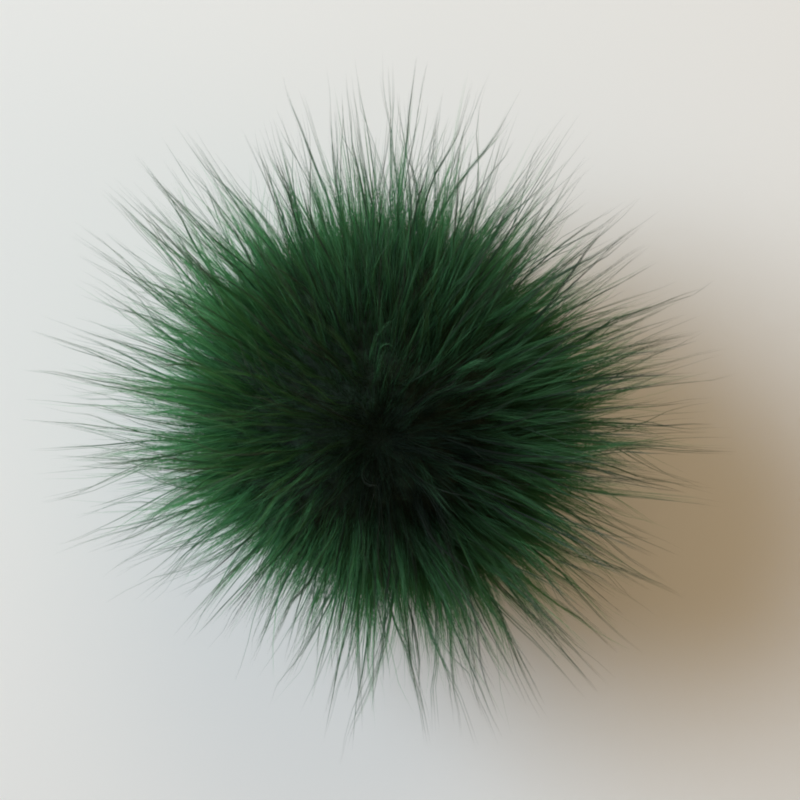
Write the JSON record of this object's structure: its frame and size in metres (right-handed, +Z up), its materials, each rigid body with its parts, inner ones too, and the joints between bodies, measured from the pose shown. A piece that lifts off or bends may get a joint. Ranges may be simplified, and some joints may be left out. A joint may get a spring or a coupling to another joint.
{
  "type": "pom pom",
  "caption": "Round pom pom of dyed green fur, a ball with long guard hair standing out all round, for trimming hats, bags, shoes and garments.",
  "frame": {"origin": "on the table under the middle of the fur's box", "axes": "+Z up, away from the table; +Y the way that the nap leans, which is up in the picture; +X to the picture's right"},
  "size_m": [0.0662, 0.0666, 0.0552],
  "materials": {
    "dyed_fur": "soft dyed fur: dense matt underfur with glossy guard hair over it"
  },
  "bodies": {
    "root": {"fur_pompom": "dyed_fur"}
  },
  "joints": []
}
